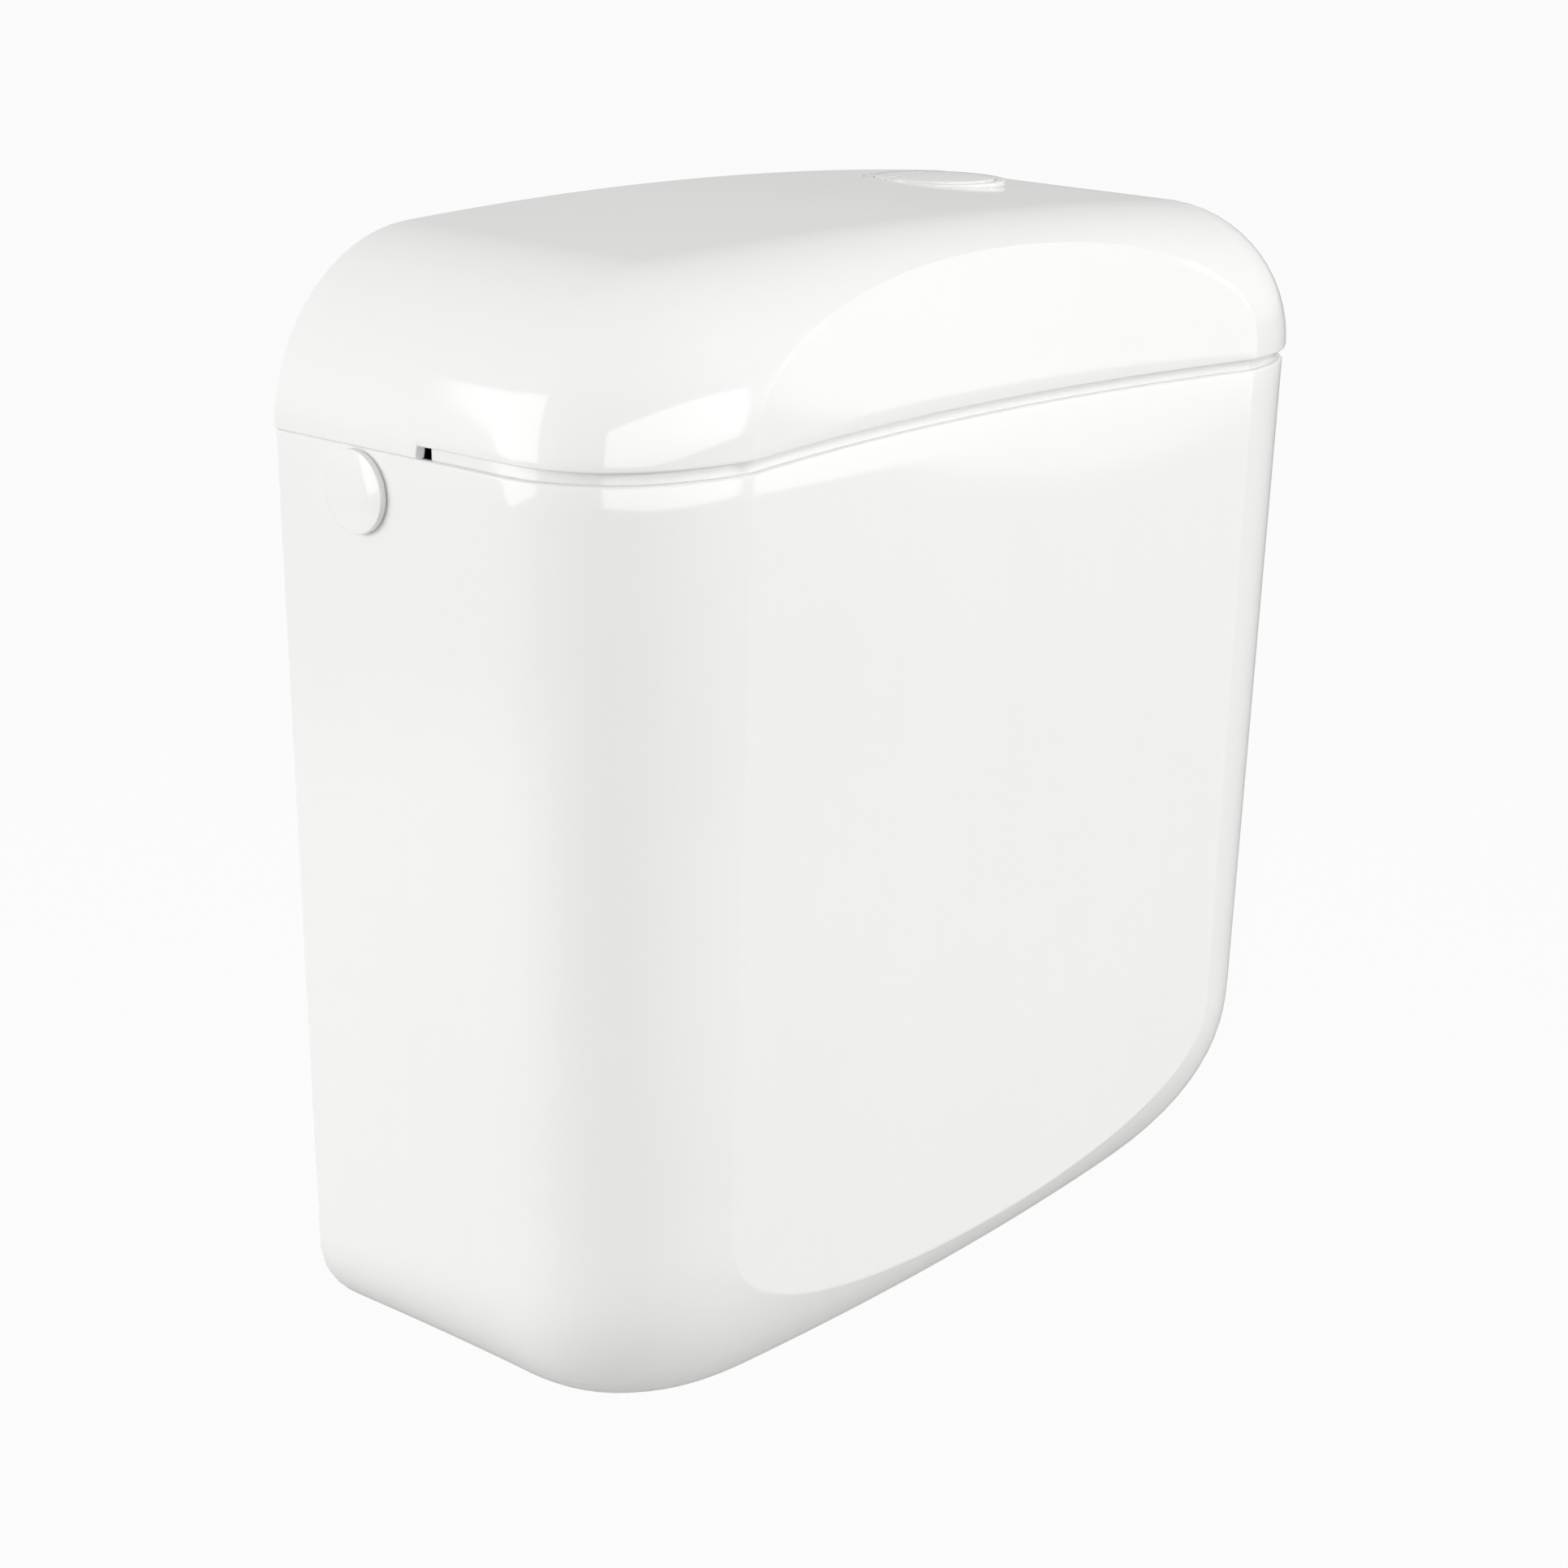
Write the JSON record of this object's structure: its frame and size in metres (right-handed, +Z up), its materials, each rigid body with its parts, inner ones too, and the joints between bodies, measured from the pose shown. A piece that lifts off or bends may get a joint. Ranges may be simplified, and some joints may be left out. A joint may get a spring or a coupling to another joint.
{
  "type": "toilet_cistern",
  "caption": "Wall-hung white plastic toilet cistern with scooped bowed front, cushion lid, dual push button, float-and-seal flush valve and side-entry fill valve",
  "frame": {"origin": "midway between the two wall fixing holes, in the plane of the tank's back", "axes": "+X to the viewer's right, +Y into the wall, +Z up"},
  "size_m": [0.4062, 0.1499, 0.4208],
  "materials": {
    "shell_white": "glossy moulded white plastic",
    "valve_white": "plain moulded white plastic",
    "valve_blue": "moulded blue-grey plastic",
    "valve_green": "moulded green plastic",
    "rod_grey": "plain moulded grey plastic",
    "float_foam": "closed-cell foam with a fine grain",
    "steel": "drawn stainless wire and rod",
    "rubber_black": "soft black rubber",
    "rubber_red": "soft red silicone rubber"
  },
  "bodies": {
    "tank": {"tank": "shell_white", "side_plug": "shell_white", "rocker_pin": "steel", "rocker_bracket": "valve_white", "valve_tower": "valve_blue", "valve_base": "valve_white", "base_washer": "rubber_black", "back_nut": "valve_white", "inlet_body": "valve_white", "inlet_washer": "rubber_black", "inlet_nut": "valve_white", "inlet_strainer": "rod_grey", "valve_cap": "valve_blue", "diaphragm": "rubber_black", "arm_pin": "steel", "discharge_tube": "rod_grey"},
    "lid": {"lid": "shell_white", "button_bezel": "shell_white", "bezel_nut": "valve_white", "full_spring": "steel", "half_spring": "steel"},
    "full_button": {"full_button": "shell_white", "full_push_rod": "rod_grey"},
    "half_button": {"half_button": "shell_white", "half_push_rod": "rod_grey"},
    "full_rocker": {"full_rocker": "valve_blue"},
    "half_rocker": {"half_rocker": "valve_green"},
    "flush_tube": {"overflow_tube": "valve_white", "lift_collar": "valve_blue", "flush_seal": "rubber_red", "seal_ring": "valve_white", "full_float": "float_foam"},
    "half_float": {"half_float": "float_foam", "half_lift_rod": "valve_green"},
    "float_arm": {"float_arm": "valve_blue"},
    "level": {"level_screw": "rod_grey", "level_float": "float_foam", "link_pin": "steel"},
    "closing_pin": {"closing_pin": "rod_grey"}
  },
  "joints": [
    {"name": "lid_lift", "type": "slide", "parent": "tank", "child": "lid", "axis": [0, 0, 1], "range_m": [0, 0.18]},
    {"name": "full_press", "type": "slide", "parent": "lid", "child": "full_button", "axis": [0, 0, -1], "range_m": [0, 0.009], "stiffness_N_per_m": 300, "springref_m": -0.005, "deforming": ["full_spring"]},
    {"name": "half_press", "type": "slide", "parent": "lid", "child": "half_button", "axis": [0, 0, -1], "range_m": [0, 0.009], "stiffness_N_per_m": 300, "springref_m": -0.005, "deforming": ["half_spring"]},
    {"name": "full_rock", "type": "hinge", "parent": "tank", "child": "full_rocker", "pos_m": [0.044, -0.05, -0.041], "axis": [0, 1, 0], "range_deg": [0, 13]},
    {"name": "half_rock", "type": "hinge", "parent": "tank", "child": "half_rocker", "pos_m": [0.044, -0.024, -0.041], "axis": [0, 1, 0], "range_deg": [0, 13]},
    {"name": "tube_lift", "type": "slide", "parent": "tank", "child": "flush_tube", "axis": [0, 0, 1], "range_m": [0, 0.0097]},
    {"name": "half_lift", "type": "slide", "parent": "tank", "child": "half_float", "axis": [0, 0, 1], "range_m": [0, 0.0097]},
    {"name": "arm_swing", "type": "hinge", "parent": "tank", "child": "float_arm", "pos_m": [0.14242, -0.0385, 0.0213], "axis": [0, 1, 0], "range_deg": [0, 11.5]},
    {"name": "level_swing", "type": "hinge", "parent": "float_arm", "child": "level", "pos_m": [0.11242, -0.0385, 0.0213], "axis": [0, 1, 0], "range_deg": [-11.6, 0]},
    {"name": "pin_push", "type": "slide", "parent": "tank", "child": "closing_pin", "axis": [1, 0, 0], "range_m": [0, 0.00205]}
  ],
  "couplings": [
    {"joint": "full_rock", "follows": "full_press", "rad_per_m": 25.15},
    {"joint": "tube_lift", "follows": "full_press", "ratio": 1.0667},
    {"joint": "half_rock", "follows": "half_press", "rad_per_m": 25.15},
    {"joint": "half_lift", "follows": "half_press", "ratio": 1.0667},
    {"joint": "level_swing", "follows": "arm_swing", "ratio": -1},
    {"joint": "pin_push", "follows": "arm_swing", "m_per_rad": 0.00997}
  ]
}
